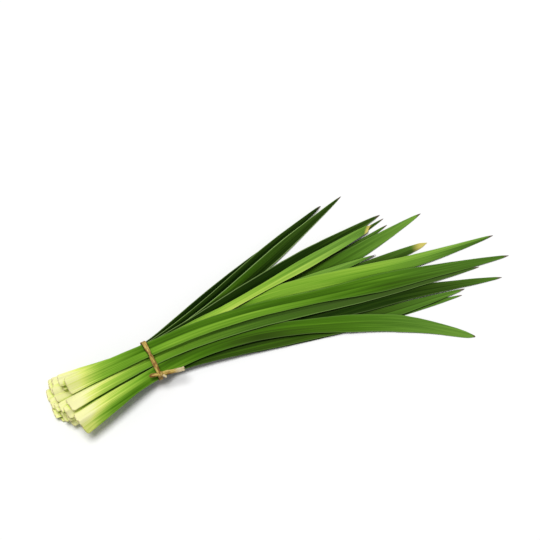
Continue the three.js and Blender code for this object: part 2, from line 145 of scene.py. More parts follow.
def add_table():
    """A white ground that keeps the bunch's shadow."""
    bpy.ops.mesh.primitive_plane_add(size=TABLE_SIZE, location=(0.0, 0.0, -TABLE_DROP))
    table = bpy.context.object
    table.name = "table"
    material = bpy.data.materials.new("table")
    material.use_nodes = True
    tree = material.node_tree
    tree.nodes.clear()
    diffuse = tree.nodes.new("ShaderNodeBsdfDiffuse")
    output = tree.nodes.new("ShaderNodeOutputMaterial")
    tree.links.new(seen_or_lit(tree, TABLE_BOUNCE, TABLE_WHITE), diffuse.inputs["Color"])
    tree.links.new(diffuse.outputs["BSDF"], output.inputs["Surface"])
    table.data.materials.append(material)


# ------------------------------------------------------------------ shader helpers

class Shader:
    """A material's node tree, with one short call for each kind of node used here."""

    def __init__(self, name):
        self.material = bpy.data.materials.new(name)
        self.material.use_nodes = True
        self.tree = self.material.node_tree
        self.surface = self.tree.nodes["Principled BSDF"]

    def feed(self, socket, value):
        if isinstance(value, bpy.types.NodeSocket):
            self.tree.links.new(value, socket)
        elif isinstance(value, tuple) and len(value) == 3 and socket.type == "RGBA":
            socket.default_value = (*value, 1.0)
        else:
            socket.default_value = value

    def attribute(self, name, output="Fac"):
        node = self.tree.nodes.new("ShaderNodeAttribute")
        node.attribute_name = name
        return node.outputs[output]

    def math(self, operation, a, b=0.0, clamp=False):
        node = self.tree.nodes.new("ShaderNodeMath")
        node.operation = operation
        node.use_clamp = clamp
        self.feed(node.inputs[0], a)
        self.feed(node.inputs[1], b)
        return node.outputs[0]

    def product(self, first, *others):
        for other in others:
            first = self.math("MULTIPLY", first, other)
        return first

    def step(self, value, start, end):
        """0 before start and 1 after end, and smooth between. The two may be in either order."""
        node = self.tree.nodes.new("ShaderNodeMapRange")
        node.interpolation_type = "SMOOTHSTEP"
        forward = start < end
        self.feed(node.inputs["Value"], value)
        node.inputs["From Min"].default_value = min(start, end)
        node.inputs["From Max"].default_value = max(start, end)
        node.inputs["To Min"].default_value = 0.0 if forward else 1.0
        node.inputs["To Max"].default_value = 1.0 if forward else 0.0
        return node.outputs["Result"]

    def mix(self, factor, a, b):
        node = self.tree.nodes.new("ShaderNodeMix")
        node.data_type = "RGBA"
        self.feed(node.inputs["Factor"], factor)
        self.feed(node.inputs[6], a)
        self.feed(node.inputs[7], b)
        return node.outputs[2]

    def ramp(self, value, stops):
        """A colour found between stops, given as (place, colour) with places from 0 to 1."""
        node = self.tree.nodes.new("ShaderNodeValToRGB")
        self.feed(node.inputs["Fac"], value)
        elements = node.color_ramp.elements
        while len(elements) < len(stops):
            elements.new(1.0)
        for element, (place, colour) in zip(elements, stops):
            element.position = place
            element.color = (*colour, 1.0)
        return node.outputs["Color"]

    def openness(self, distance):
        """1 on an open face, and less down to 0 the closer other faces stand around it."""
        node = self.tree.nodes.new("ShaderNodeAmbientOcclusion")
        node.samples = 8
        node.inputs["Distance"].default_value = distance
        return node.outputs["AO"]

    def stretched(self, vector, factors):
        node = self.tree.nodes.new("ShaderNodeVectorMath")
        node.operation = "MULTIPLY"
        self.feed(node.inputs[0], vector)
        node.inputs[1].default_value = factors
        return node.outputs["Vector"]

    def noise(self, vector, detail, seed):
        node = self.tree.nodes.new("ShaderNodeTexNoise")
        node.noise_dimensions = "4D"
        node.inputs["Scale"].default_value = 1.0
        node.inputs["Detail"].default_value = detail
        node.inputs["W"].default_value = seed
        self.feed(node.inputs["Vector"], vector)
        return node.outputs["Fac"]

    def bump(self, height, distance, strength):
        node = self.tree.nodes.new("ShaderNodeBump")
        node.inputs["Strength"].default_value = strength
        node.inputs["Distance"].default_value = distance
        self.feed(node.inputs["Height"], height)
        return node.outputs["Normal"]


# ------------------------------------------------------------------ the leaves' colours

# A leaf's colour is looked up by its tone, from 0, the deepest green, to 1.6, the creamy base.
TONES = (
    (0.00, (0.0045, 0.020, 0.001)),
    (0.25, (0.030, 0.072, 0.005)),
    (0.50, (0.062, 0.175, 0.006)),
    (0.75, (0.175, 0.380, 0.025)),
    (1.00, (0.370, 0.590, 0.065)),
    (1.30, (0.800, 0.880, 0.200)),
    (1.60, (0.970, 0.950, 0.480)),
)
TONE_RANGE = 1.6

# The tone at the base, by millimetres from the cut, and where it passes into the blade's own.
# Here and below, a pair of places or values runs from where something starts to where it is full.
BASE_TONES = ((0, 1.60), (12, 1.52), (22, 1.26), (36, 0.98), (60, 0.80), (85, 0.70), (110, 0.60))
BASE_REACH = (55 * MM, 112 * MM)
BLADE_PLACES = (0.0, 1 / 3, 2 / 3, 1.0)     # from the tie to the tip, where LOOKS gives tones
SEAM_SOFTNESS = 0.08              # how far beside the seam the halves' tones mix, of a half's width

# Cycles per metre across the blade and along it. Both of its skins have the same veins.
FINE_VEINS = (1500.0, 14.0, 0.0)
BROAD_BANDS = (420.0, 7.0, 0.0)
RAISED_VEINS = (2600.0, 9.0, 0.0)
VEIN_RELIEF = 0.12 * MM
VEIN_STRENGTH = 0.5

STREAK_SWING = 0.9                # how far veins and bands move the tone
BASE_SWING = 0.5                  # and how much farther at the base
BASE_SWING_REACH = (70 * MM, 15 * MM)
# Painted shade: a dark line along the keel's crease.
KEEL_SHADE_WIDTH = 0.10                  # how far the keel's dark line reaches, of a half's width
KEEL_SHADE_TONE = -0.10

# Painted shade: where leaves stand close together they are painted darker, more so away from the
# cut.
CREVICE_SHADE_DISTANCE = 7 * MM         # leaves closer together than this darken each other
CREVICE_SHADE_OPENNESS = (0.85, 0.35)
CREVICE_SHADE_TONES = (0.45, 0.90)      # how much darker, at the cut and beyond the base
CREVICE_SHADE_REACH = (15 * MM, 100 * MM)

UNDER_SIDE = (0.6, 0.4)           # a skin's number is 0 on the lower side and 1 on the upper
UPPER_SIDE = (0.6, 0.9)
BLUISH = (0.075, 0.140, 0.030)    # the waxy bloom on an underside
UNDERSIDE_BLOOM = 0.55
BLOOM_REACH = (80 * MM, 200 * MM)
PAINTED_SHEEN = (0.450, 0.580, 0.320)     # a painted sheen, pale grey-green, on an upper side towards the tip
PAINTED_SHEEN_SHARE = 0.11
PAINTED_SHEEN_REACH = (150 * MM, 30 * MM)
PAINTED_SHEEN_TONES = (0.1, 1.0)          # dark leaves have none
# Painted highlight: a pale line along the margins of a blade's upper side.
MARGIN_HIGHLIGHT = (0.380, 0.580, 0.180)
MARGIN_HIGHLIGHT_LINE = (0.84, 0.97)        # from the keel, of a half's width
MARGIN_HIGHLIGHT_REACH = (30 * MM, 80 * MM)

DRY_TIP = (0.120, 0.080, 0.050)
STRAW_TIP = (0.640, 0.560, 0.140)
RAGGED_TIP = 8 * MM               # how unevenly a dry tip passes into the green
DRY_SHARE = 0.35                  # part of a dry tip's length that is dry right through
CUT = (0.400, 0.270, 0.150)
CUT_BROWN = 0.7
CUT_BROWN_REACH = (1.3 * MM, 0.4 * MM)
CUT_BLOTCHES = (0.35, 0.60)

LEAF_ROUGHNESS = 0.35             # at its least; the fine veins add up to ROUGHER to it
ROUGHER = 0.25
LEAF_IOR = 1.4
LEAF_GLOSS = 0.10
WAX_TINT = (0.60, 0.85, 0.15, 1.0)

# far, near     tones of the half of the blade away from the front, and of the one towards it,
#               which hold painted light and shade: darker where a half leans from the light and
#               where a leaf lies in shade under others, and lighter where a half is lit
# base          what the two halves add to the base's tone, as painted light and shade
# seam          where across the blade the two tones meet, if not at the keel
# margin        strength of the painted highlight, a pale line along the upper side's margins
# bloom         strength of the bloom on the upper side
# tip           colour of the dry tip, and tip_length its length
LOOKS = {
    "leaf_01": {"far": (0.20, 0.20, 0.25, 0.30), "near": (0.20, 0.20, 0.25, 0.30)},
    "leaf_02": {"far": (0.20, 0.20, 0.25, 0.30), "near": (0.20, 0.20, 0.25, 0.30)},
    "leaf_03": {"far": (0.20, 0.20, 0.25, 0.30), "near": (0.20, 0.20, 0.25, 0.30)},
    "leaf_04": {"far": (0.25, 0.04, 0.06, 0.25), "near": (0.05, 0.00, 0.08, 0.20), "margin": 0.6},
    "leaf_05": {"far": (0.25, 0.30, 0.40, 0.50), "near": (0.25, 0.40, 0.40, 0.50)},
    "leaf_06": {"far": (0.22, 0.14, 0.16, 0.25), "near": (0.05, 0.00, 0.08, 0.20), "margin": 0.6},
    "leaf_07": {"far": (0.30, 0.64, 0.30, 0.28), "near": (0.10, 0.02, 0.08, 0.20), "margin": 1.0},
    "leaf_08": {"far": (0.20, 0.14, 0.20, 0.58), "near": (0.14, 0.28, 0.34, 0.58)},
    "leaf_09": {"far": (0.20, 0.25, 0.35, 0.35), "near": (0.20, 0.20, 0.25, 0.30)},
    "leaf_10": {"far": (0.20, 0.25, 0.42, 0.45), "near": (0.20, 0.20, 0.25, 0.30)},
    "leaf_11": {"far": (0.00, 0.00, -0.10, 0.52), "near": (0.00, 0.00, 0.00, 0.48)},
    "leaf_12": {"far": (0.06, -0.04, 0.00, 0.32), "near": (0.00, -0.06, -0.02, 0.26),
                "margin": 0.5},
    "leaf_13": {"far": (0.10, 0.26, 0.40, 0.64), "near": (0.05, 0.10, 0.48, 0.76)},
    "leaf_14": {"far": (0.20, 0.20, 0.14, 0.45), "near": (0.15, 0.15, 0.10, 0.35),
                "tip": STRAW_TIP, "tip_length": 19 * MM},
    "leaf_15": {"far": (0.80, 0.84, 0.80, 0.58), "near": (0.70, 0.78, 0.72, 0.50),
                "base": (0.0, 0.12)},
    "leaf_16": {"far": (0.80, 0.88, 0.80, 0.70), "near": (0.70, 0.80, 0.76, 0.35)},
    "leaf_17": {"far": (0.44, 0.40, 0.50, 0.60), "near": (0.74, 0.18, 0.50, 0.64),
                "base": (0.12, -0.26), "seam": -0.22, "tip_length": 3 * MM},
    "leaf_18": {"far": (0.66, 0.95, 0.71, 0.68), "near": (0.90, 1.09, 1.01, 0.50),
                "tip": STRAW_TIP, "tip_length": 8 * MM},
    "leaf_19": {"far": (0.78, 0.42, 0.22, 0.34), "near": (0.82, 0.46, 0.22, 0.34),
                "base": (0.28, 0.12), "margin": 0.3, "bloom": 0.4},
    "leaf_20": {"far": (0.48, 0.45, 0.52, 0.40), "near": (0.80, 0.68, 0.42, 0.48),
                "base": (-0.10, -0.08)},
}
PLAIN_LOOK = {"base": (0.0, 0.0), "seam": 0.0, "margin": 0.12, "bloom": 0.05,
              "tip": DRY_TIP, "tip_length": 7 * MM}


def leaf_tones(look, rows, tie_row, places):
    """The tone at every row and place of a blade, before its streaks, with painted light and shade.
    """
    distance = np.maximum(rows - tie_row, 0.0) / (rows[-1] - tie_row)
    far = np.interp(distance, BLADE_PLACES, look["far"])
    near = np.interp(distance, BLADE_PLACES, look["near"])
    base_places, base_tones = zip(*BASE_TONES)
    base = np.interp(rows / MM, base_places, base_tones)
    share = 1 - smooth(rows, *BASE_REACH)
    far = far * (1 - share) + (base + look["base"][0]) * share
    near = near * (1 - share) + (base + look["base"][1]) * share
    # each half takes its own tone, with its painted light and shade
    is_far = smooth(places - look["seam"], -SEAM_SOFTNESS, SEAM_SOFTNESS)[None, :]
    return far[:, None] * is_far + near[:, None] * (1 - is_far)


def streaked_tone(shader, fine, broad):
    """The blade's tone with its veins and bands, and painted shade along its keel and in its
    crevices.
    """
    from_cut = shader.attribute("from_cut")
    beside_keel = shader.math("ABSOLUTE", shader.attribute("across"))
    more_swing = shader.product(shader.step(from_cut, *BASE_SWING_REACH), BASE_SWING)
    swing = shader.math("ADD", more_swing, STREAK_SWING)
    streaks = shader.math("SUBTRACT", shader.product(shader.math("ADD", fine, broad), 0.5), 0.5)
    tone = shader.math("ADD", shader.attribute("tone"), shader.product(streaks, swing))
    # painted shade along the keel's crease
    keel = shader.product(shader.step(beside_keel, KEEL_SHADE_WIDTH, 0.0), KEEL_SHADE_TONE)
    tone = shader.math("ADD", tone, keel)
    at_cut, on_blade = CREVICE_SHADE_TONES
    # painted shade in the crevices, where other leaves stand close
    more_dark = shader.product(shader.step(from_cut, *CREVICE_SHADE_REACH), on_blade - at_cut)
    crevice_shade = shader.step(shader.openness(CREVICE_SHADE_DISTANCE), *CREVICE_SHADE_OPENNESS)
    darker = shader.product(crevice_shade, shader.math("ADD", more_dark, at_cut))
    return shader.math("SUBTRACT", tone, darker)


def bloom_sheen_and_highlight(shader, colour, look, tone):
    """The colour under its bloom and a painted sheen, with a painted highlight along its margins.
    """
    from_cut = shader.attribute("from_cut")
    from_tip = shader.attribute("from_tip")
    upper = shader.attribute("upper")
    beside_keel = shader.math("ABSOLUTE", shader.attribute("across"))
    bloom = shader.product(shader.step(upper, *UNDER_SIDE), UNDERSIDE_BLOOM)
    bloom = shader.math("MAXIMUM", bloom, look["bloom"])
    bloom = shader.product(bloom, shader.step(from_cut, *BLOOM_REACH))
    colour = shader.mix(bloom, colour, BLUISH)
    # painted sheen: pale on the lighter parts of the upper side, towards the tip
    sheen = shader.product(shader.step(from_tip, *PAINTED_SHEEN_REACH), PAINTED_SHEEN_SHARE,
                           shader.step(tone, *PAINTED_SHEEN_TONES))
    colour = shader.mix(sheen, colour, PAINTED_SHEEN)
    # painted highlight along the upper side's margins
    margin = shader.product(shader.step(beside_keel, *MARGIN_HIGHLIGHT_LINE), look["margin"],
                            shader.step(upper, *UPPER_SIDE),
                            shader.step(from_cut, *MARGIN_HIGHLIGHT_REACH))
    return shader.mix(margin, colour, MARGIN_HIGHLIGHT)


def dry_ended(shader, colour, look, fine, broad):
    """The colour with a dry tip, and with the edge of the cut end browned in blotches."""
    from_cut = shader.attribute("from_cut")
    from_tip = shader.attribute("from_tip")
    ragged = shader.product(shader.math("SUBTRACT", fine, 0.5), RAGGED_TIP)
    end = shader.math("ADD", from_tip, ragged)
    dry = shader.step(end, look["tip_length"], look["tip_length"] * DRY_SHARE)
    colour = shader.mix(dry, colour, look["tip"])
    browned = shader.product(shader.step(from_cut, *CUT_BROWN_REACH), CUT_BROWN,
                             shader.step(broad, *CUT_BLOTCHES))
    return shader.mix(browned, colour, CUT)


def leaf_material(name, look, seed):
    """A satin leaf: cream at its cut base, then lime, then greens in painted light and shade, fine
    long veins.
    """
    shader = Shader(name)
    place = shader.attribute("place", "Vector")
    fine = shader.noise(shader.stretched(place, FINE_VEINS), detail=2.0, seed=seed)
    broad = shader.noise(shader.stretched(place, BROAD_BANDS), detail=1.0, seed=seed + 7.0)
    raised = shader.noise(shader.stretched(place, RAISED_VEINS), detail=1.0, seed=seed + 3.0)

    tone = streaked_tone(shader, fine, broad)
    stops = [(stop / TONE_RANGE, stop_colour) for stop, stop_colour in TONES]
    colour = shader.ramp(shader.math("DIVIDE", tone, TONE_RANGE, clamp=True), stops)
    colour = bloom_sheen_and_highlight(shader, colour, look, tone)
    colour = dry_ended(shader, colour, look, fine, broad)
    roughness = shader.math("ADD", shader.product(fine, ROUGHER), LEAF_ROUGHNESS)

    shader.feed(shader.surface.inputs["Base Color"], colour)
    shader.feed(shader.surface.inputs["Roughness"], roughness)
    shader.feed(shader.surface.inputs["Normal"], shader.bump(raised, VEIN_RELIEF, VEIN_STRENGTH))
    shader.surface.inputs["IOR"].default_value = LEAF_IOR
    shader.surface.inputs["Specular IOR Level"].default_value = LEAF_GLOSS
    shader.surface.inputs["Specular Tint"].default_value = WAX_TINT
    return shader.material


# ------------------------------------------------------------------ the leaves' shape

COLUMNS = 5                       # corners across a CAD leaf's section: margin, middle, keel, …
ROW_STEP = 2.2 * MM
HALF_COLUMNS = 12                 # faces across each half of a blade
MARGIN_BEVEL = 0.14               # part of each half over which the margin thins
MARGIN_SHARE = 0.45               # of its thickness that a margin keeps
KEEL_GROOVE = 0.30 * MM
KEEL_GROOVE_WIDTH = 0.9 * MM
FULL_WIDTH = 8 * MM               # where a blade is narrower, its groove and its sway are less
SWAY = 0.22 * MM                  # gentle rise and fall of the blade
SWAY_WAVE = 90 * MM
WAVER = 0.02                      # and of its width, as a part of it
WAVER_WAVE = 60 * MM
SHARP_TIP = 6 * MM                # a tip draws to a point over this length
TIP_WIDTH = 0.2                   # part of its width left at the very end
SHARP_ANGLE = math.radians(50)

CUT_CORNER = 0.45                 # part of each half over which the cut end's corner is round
CUT_RECESS = 2.4 * MM             # and how far it falls back at the margin
CUT_FADES = 12 * MM               # the rows behind it are straight again after this length
CUT_ROWS = np.array([0.0, 0.12, 0.35, 0.7, 1.2]) * MM
CUT_BEVEL = 1.2 * MM              # the cut end's edges are round over this length
CUT_THICKNESS = 0.62              # part of the thickness left at the very end

BLUNT_LEAVES = {"leaf_17", "leaf_18"}
TORN_TIPS = {"leaf_18": 7 * MM}   # how much shorter the near margin is
TORN_RAGGED = 0.8 * MM            # and how unevenly
TORN_LENGTH = 6 * MM              # the tear draws back the rows over this length, and over
TORN_SPREAD = 3                   # this many times what is missing


def lengths_along(points):
    """How far along a line each of its points is."""
    steps = np.linalg.norm(np.diff(points, axis=0), axis=1)
    return np.concatenate([[0.0], np.cumsum(steps)])


def leaf_sections(name):
    """A CAD leaf's sections as an array [section, column, lower or upper, xyz].

    Sorted by x, y and z, the corners fall into sections, and each section's into columns. Only
    the cut end isn't square to x, so its columns are put in order by y.
    """
    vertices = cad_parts[name].data.vertices
    corners = np.unique(np.round([v.co[:] for v in vertices], 6), axis=0)
    sections = corners.reshape(-1, COLUMNS, 2, 3)
    cut = sections[0]
    sections[0] = cut[np.argsort(cut[:, 0, 1])]
    return sections


def spline(places, values, wanted):
    """Values along a smooth curve through the given ones, whose slopes are those of neighbours."""
    shape = (-1, *[1] * (values.ndim - 1))
    gaps = np.diff(places)
    slopes = np.diff(values, axis=0) / gaps.reshape(shape)
    inner = (places[2:] - places[:-2]).reshape(shape)
    tangents = np.concatenate([slopes[:1], (values[2:] - values[:-2]) / inner, slopes[-1:]])
    k = np.clip(np.searchsorted(places, wanted, side="right") - 1, 0, len(gaps) - 1)
    gap = gaps[k].reshape(shape)
    t = ((wanted - places[k]) / gaps[k]).reshape(shape)
    return ((2 * t ** 3 - 3 * t ** 2 + 1) * values[k]
            + (t ** 3 - 2 * t ** 2 + t) * gap * tangents[k]
            + (3 * t ** 2 - 2 * t ** 3) * values[k + 1]
            + (t ** 3 - t ** 2) * gap * tangents[k + 1])


def across_places():
    """Places across a blade from -1 to 1, closer together at the keel and at the margins."""
    half = np.linspace(0.0, 1.0, HALF_COLUMNS + 1)
    half = 0.5 - 0.5 * np.cos(math.pi * half)
    return np.concatenate([half - 1.0, 1.0 - half[::-1][1:]])


def across_weights(places):
    """How much of each CAD column a place takes: each half is a parabola, with a crease between."""
    weights = np.zeros((len(places), COLUMNS))
    for row, place in enumerate(places):
        u = abs(place)
        side = 1 if place >= 0 else -1
        weights[row, 2] = (1 - u) * (1 - 2 * u)
        weights[row, 2 + side] = 4 * u * (1 - u)
        weights[row, 2 + 2 * side] = u * (2 * u - 1)
    return weights


def smooth(value, start, end):
    """0 at start and 1 at end, and smooth between. The two may be in either order."""
    t = np.clip((value - start) / (end - start), 0.0, 1.0)
    return t * t * (3 - 2 * t)


def wave(places, period, random):
    """A smooth wandering between about -1 and 1 along the leaf, made of three waves."""
    total = np.zeros_like(places)
    for share, factor in ((0.6, 1.0), (0.3, 2.3), (0.15, 5.1)):
        total += share * np.sin(2 * math.pi * (places * factor / period + random.random()))
    return total


def column_rows(name, rows, place, random):
    """Where along the leaf its rows stand at one place across, with a round cut and a torn tip."""
    corner = np.clip((abs(place) - (1 - CUT_CORNER)) / CUT_CORNER, 0.0, 1.0)
    recess = CUT_RECESS * (1 - math.sqrt(1 - corner ** 2))
    shifted = rows + recess * np.clip(1 - rows / CUT_FADES, 0.0, 1.0)
    if name in TORN_TIPS:
        missing = TORN_TIPS[name] * (1 - place) / 2 + TORN_RAGGED * random.random()
        tear = rows[-1] - TORN_SPREAD * missing - TORN_LENGTH
        shifted -= missing * smooth(rows, tear, rows[-1])
    return shifted


def thinned(skins, rows, places):
    """The skins drawn together towards the margins and towards the cut end."""
    middle = skins.mean(axis=2, keepdims=True)
    bevel = smooth(np.abs(places), 1.0 - MARGIN_BEVEL, 1.0)[None, :, None, None]
    at_end = np.sqrt(1 - np.clip(1 - rows / CUT_BEVEL, 0.0, 1.0) ** 2)[:, None, None, None]
    thickness = (1 - (1 - MARGIN_SHARE) * bevel) * (CUT_THICKNESS + (1 - CUT_THICKNESS) * at_end)
    return middle + (skins - middle) * thickness


def narrowed(name, skins, rows, random):
    """The skins with a width that wavers, and a tip that draws to a point unless it is blunt."""
    spine = skins[:, skins.shape[1] // 2].mean(axis=1)[:, None, None]
    scale = np.ones((len(rows), 3))
    scale[:, :2] += WAVER * wave(rows, WAVER_WAVE, random)[:, None]
    if name not in BLUNT_LEAVES:
        to_point = np.sqrt(np.clip((rows[-1] - rows) / SHARP_TIP, 0.0, 1.0))
        scale *= (TIP_WIDTH + (1 - TIP_WIDTH) * to_point)[:, None]
    return spine + (skins - spine) * scale[:, None, None]


def grooved(skins, rows, places, beside, random):
    """The skins with a groove on top of the keel and a gentle sway along the margins."""
    skins = skins.copy()
    fullness = smooth(np.ptp(beside, axis=1), 0.0, FULL_WIDTH)[:, None]
    skins[:, :, 1, 2] -= KEEL_GROOVE * np.exp(-(beside / KEEL_GROOVE_WIDTH) ** 2) * fullness
    sway = SWAY * wave(rows, SWAY_WAVE, random)[:, None] * places[None, :] ** 2
    skins[:, :, :, 2] += (sway * fullness)[:, :, None]
    return skins


def leaf_skins(name, random):
    """The blade's lower and upper skin as an array [row, place, lower or upper, xyz].

    With it come the rows' places along the leaf, the places across it from -1 to 1, and how far
    beside the keel each point of the upper skin is.
    """
    sections = leaf_sections(name)
    lengths = lengths_along(sections[:, COLUMNS // 2, 1])
    total = lengths[-1]
    rows = np.concatenate([CUT_ROWS, np.linspace(0.0, total, int(total / ROW_STEP))[1:]])
    places = across_places()
    columns = []
    for place, weights in zip(places, across_weights(places)):
        column = spline(lengths, sections, column_rows(name, rows, place, random))
        columns.append(np.einsum("c,rcsx->rsx", weights, column))

    skins = thinned(np.stack(columns, axis=1), rows, places)
    skins = narrowed(name, skins, rows, random)
    across = skins[:, :, 1, 1]
    beside = across - across[:, len(places) // 2][:, None]
    skins = grooved(skins, rows, places, beside, random)
    # No point of the finer blade may stand past the CAD model's box.
    lowest, highest = np.array(cad_box)
    return np.clip(skins, lowest, highest), rows, places, beside


def write_attributes(mesh, values):
    """Writes numbers or vectors at a mesh's vertices, for its material to read."""
    for name, array in values.items():
        is_vector = array.ndim == 2
        layer = mesh.attributes.new(name, "FLOAT_VECTOR" if is_vector else "FLOAT", "POINT")
        layer.data.foreach_set("vector" if is_vector else "value", array.astype(np.float32).ravel())


def blade_faces(n_rows, n_places):
    """A closed blade's faces. Its vertices are the lower skin's row by row, then the upper's."""
    lower = np.arange(n_rows * n_places).reshape(n_rows, n_places)
    upper = lower + n_rows * n_places

    def quads(*corners):
        return np.stack([corner.ravel() for corner in corners], axis=1)

    return np.concatenate([
        quads(upper[:-1, :-1], upper[1:, :-1], upper[1:, 1:], upper[:-1, 1:]),
        quads(lower[:-1, :-1], lower[:-1, 1:], lower[1:, 1:], lower[1:, :-1]),
        quads(lower[:-1, 0], lower[1:, 0], upper[1:, 0], upper[:-1, 0]),
        quads(lower[:-1, -1], upper[:-1, -1], upper[1:, -1], lower[1:, -1]),
        quads(lower[0, :-1], upper[0, :-1], upper[0, 1:], lower[0, 1:]),
        quads(lower[-1, :-1], lower[-1, 1:], upper[-1, 1:], upper[-1, :-1]),
    ]).tolist()


def leaf_mesh(name, look, random):
    """The closed blade, with what its material reads at every vertex."""
    skins, rows, places, beside = leaf_skins(name, random)
    n_rows, n_places = len(rows), len(places)
    tie_row = np.interp(TIE_PLACE[0], skins[:, n_places // 2, 1, 0], rows)
    tones = leaf_tones(look, rows, tie_row, places)
    points = np.concatenate([skins[:, :, side].reshape(-1, 3) for side in (0, 1)])
    mesh = bpy.data.meshes.new(name)
    mesh.from_pydata(points.tolist(), [], blade_faces(n_rows, n_places))
    mesh.shade_smooth()
    mesh.set_sharp_from_angle(angle=SHARP_ANGLE)

    along = np.repeat(rows, n_places)
    across = np.tile(places, n_rows)
    upper_share = np.repeat([0.0, 1.0], n_rows * n_places)
    write_attributes(mesh, {
        "across": np.tile(across, 2),
        "from_cut": np.tile(along, 2),
        "from_tip": np.tile(rows[-1] - along, 2),
        "upper": upper_share,
        "tone": np.tile(tones.ravel(), 2),
        "place": np.stack([np.tile(beside.ravel(), 2), np.tile(along, 2), upper_share], axis=1),
    })
    return mesh


def add_leaves():
    """A finer blade in the place of each of the CAD model's leaves."""
    for number, (name, look) in enumerate(LOOKS.items()):
        random = np.random.default_rng(number)
        look = {**PLAIN_LOOK, **look}
        leaf = link(bpy.data.objects.new(f"{name}_blade", leaf_mesh(name, look, random)))
        leaf.data.materials.append(leaf_material(name, look, seed=10.0 * number))
        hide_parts(name)
        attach(leaf, "root")


# ------------------------------------------------------------------ the tie

TIE_TURN = math.radians(9.0)
TIE_WIDTH = 4.2 * MM
TIE_THICKNESS = 0.8 * MM
TIE_AXES = np.array([             # along the bunch, across it, and up
    [math.cos(TIE_TURN), math.sin(TIE_TURN), 0.0],
    [-math.sin(TIE_TURN), math.cos(TIE_TURN), 0.0],
    [0.0, 0.0, 1.0],
])
TIE_SEED = 77
OUTLINE_SIDES = 40
KNOT_ANGLE = math.radians(163.0)
KNOT_HEIGHT = 1.5 * MM            # of the knot's middle above the strip round the bunch

ON_SIDE = 0.02 * MM               # how near a corner is to the ring's side to count as on it
GRAZING = 0.05                    # the least cosine between a direction and a side that it meets

STRAND_WIDTH = 2.5 * MM
STRAND_THICKNESS = 0.75 * MM
STRAND_STEP = 0.4 * MM
RIBBON_SIDES = 16
FIBRES = 5                        # ridges round a strand
RIDGE_HEIGHT = 0.10               # as a part of half its width and thickness
RIDGE_NOISE = 0.04                # and how uneven it is
RIDGE_TURN = 0.5                  # radians by which the ridges wander round it
RIDGE_TURN_WAVE = 14 * MM
STRAND_WAVER = 0.08               # of its width, as a part of it
STRAND_WAVER_WAVE = 9 * MM
CURL = 0.25                       # of its edges, as a part of half its thickness
CURL_WAVE = 6 * MM
BOXINESS = 0.7                    # 1 makes the section an ellipse, and less a boxier one
FAR_FROM_END = 1.0                # what a strip that isn't torn says of its distance to the end

BAND_POINTS = 260
BAND_SPREAD = 0.95 * MM           # how far each turn keeps from the band's middle
BAND_PINCH = 0.35                 # how much less at the knot, as a part of it
BAND_PINCH_REACH = 0.4            # radians
CROSSING = (math.radians(150), math.radians(20))    # where one turn passes over the other
CROSSING_LIFT = 0.35 * MM
CROSSING_SIDE = (-0.2, 0.5)       # only the upper side is lifted, by the sine of the angle

KNOT_SHIFT = 0.5 * MM             # of the knot along the bunch
KNOT_WRAPS = (                    # lean in degrees, then radius and width in millimetres
    (28, 2.1, 2.4),
    (-38, 1.7, 2.2),
)
WRAP_POINTS = 48
WRAP_THICKNESS = 0.7 * MM
WRAP_STRETCH = 1.35               # how much longer a wrap is along its lean than it is deep
END_FACING = (0.75, 0.66)         # the loose ends' flat side: this much away from the band, and up

# The loose ends' routes in millimetres from the knot, along the bunch, across it and up. After
# each come the strip's width and thickness in millimetres and whether it ends torn. First is the
# long end, with the two that it splits into, then the folded loop, then the short end.
LOOSE_ENDS = (
    ([[0, 0, 0], [5, -1.0, 0.4], [11, -2.6, 0.7], [17, -4.5, 0.8], [20, -5.2, 0.9]],
     4.0, 1.1, True),
    ([[15, -3.9, 0.6], [19, -4.5, 1.0], [23, -4.4, 1.2]], 2.1, 0.6, True),
    ([[15, -4.2, 0.7], [19, -5.6, 0.7], [22.4, -6.8, 0.4]], 2.0, 0.6, True),
    ([[0, 0.4, 0], [-4, 0.9, 0.8], [-8, 2.0, 0.6], [-9.2, 2.6, 1.1], [-7.6, 2.6, 1.8],
      [-3, 0.9, 1.6], [0, 0, 0.6]], 2.6, 0.6, False),
    ([[0, -0.5, 0.2], [2.4, -2.6, 0.2], [4.2, -4.8, -1.0]], 2.2, 0.6, True),
)

TAN = (0.520, 0.330, 0.055)
STRAW = (0.820, 0.660, 0.200)
UMBER = (0.230, 0.105, 0.018)
BLEACHED = (0.700, 0.580, 0.350)
BLEACHED_REACH = (9 * MM, 1 * MM)         # from a torn end
FIBRE_LINES = (5200.0, 90.0, 50.0)        # cycles per metre across a strip and along it, and
BLOTCHES = (500.0, 160.0, 50.0)           # how far apart in the noise two strips may be
STRAW_FIBRES = (0.35, 0.70)
UMBER_BLOTCHES = (0.62, 0.38)
# Painted shade: umber in the strip's hollows and towards its edges.
UMBER_HOLLOW_SHADE = (0.75, 0.30)
FIBRE_RELIEF = 0.15 * MM
FIBRE_STRENGTH = 0.8
TIE_ROUGHNESS = 0.62
TIE_GLOSS = 0.3


def on_tie(points):
    """Points given along the bunch, across it and up from the tie's place, in the frame."""
    return TIE_PLACE + np.asarray(points, float) @ TIE_AXES


